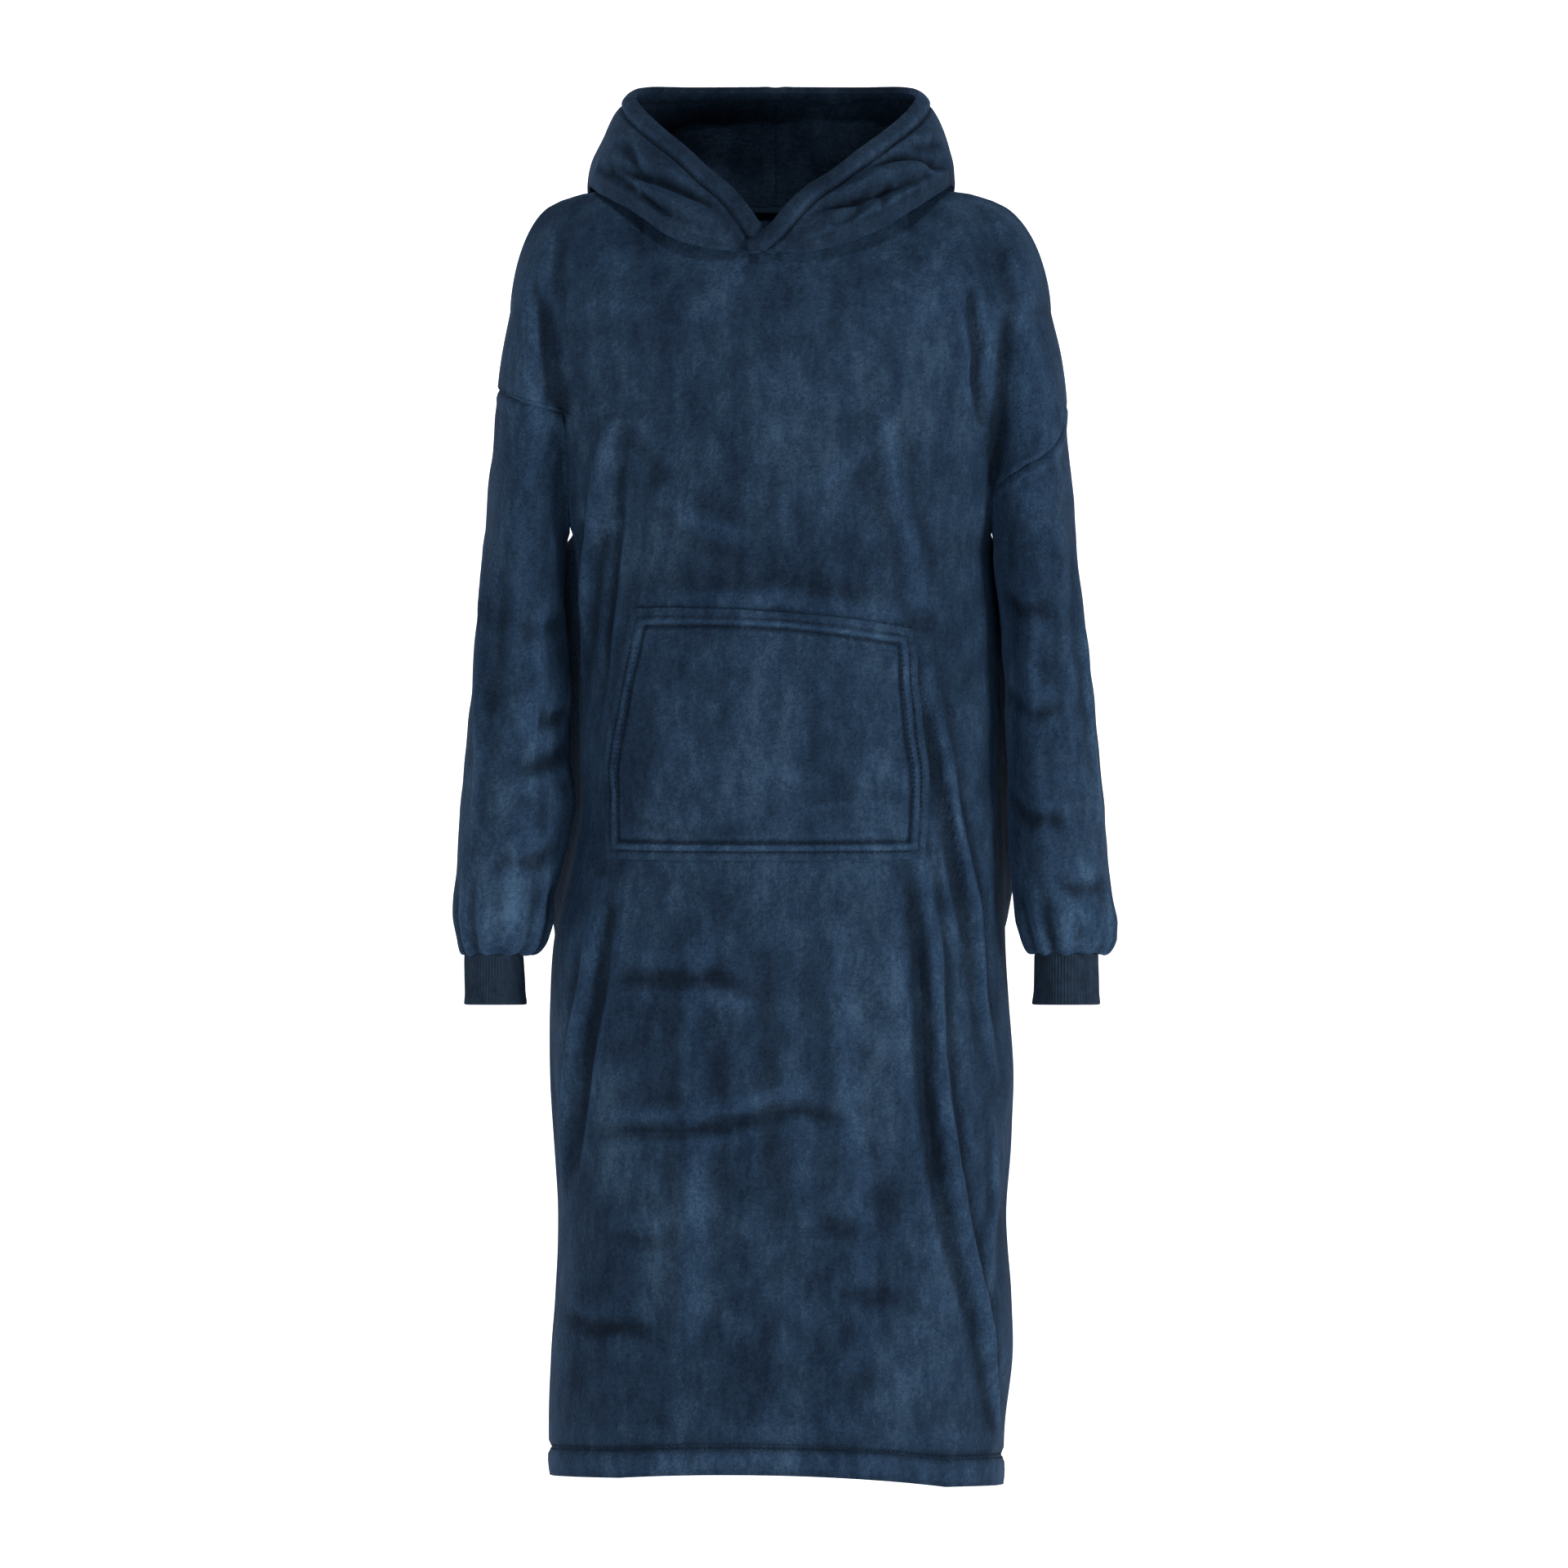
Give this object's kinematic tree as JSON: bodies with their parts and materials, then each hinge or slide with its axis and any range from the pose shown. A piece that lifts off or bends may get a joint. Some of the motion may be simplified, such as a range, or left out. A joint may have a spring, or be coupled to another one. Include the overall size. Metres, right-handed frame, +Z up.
{
  "type": "long hooded fleece pullover",
  "caption": "Long pullover of plush fleece with dropped shoulders, a turned-down hood, a front pouch pocket and ribbed cuffs, hollow and filled out as worn",
  "frame": {"origin": "middle of the neck opening, at the height where the garment rests on the wearer's shoulders", "axes": "+Z up the garment, -Y its front, +X the wearer's left"},
  "size_m": [0.5655, 0.3126, 1.2003],
  "materials": {
    "body_fleece": "plush fleece with a brushed nap",
    "sleeve_fleece": "plush fleece with a brushed nap",
    "hood_fleece": "plush fleece with a brushed nap",
    "pocket_fleece": "plush fleece with a brushed nap",
    "rib_knit": "fine rib knit"
  },
  "bodies": {
    "root": {"body_front": "body_fleece", "body_back": "body_fleece", "sleeve_left": "sleeve_fleece", "sleeve_right": "sleeve_fleece", "cuff_left": "rib_knit", "cuff_right": "rib_knit", "hood_left": "hood_fleece", "hood_right": "hood_fleece", "pocket": "pocket_fleece"}
  },
  "joints": []
}
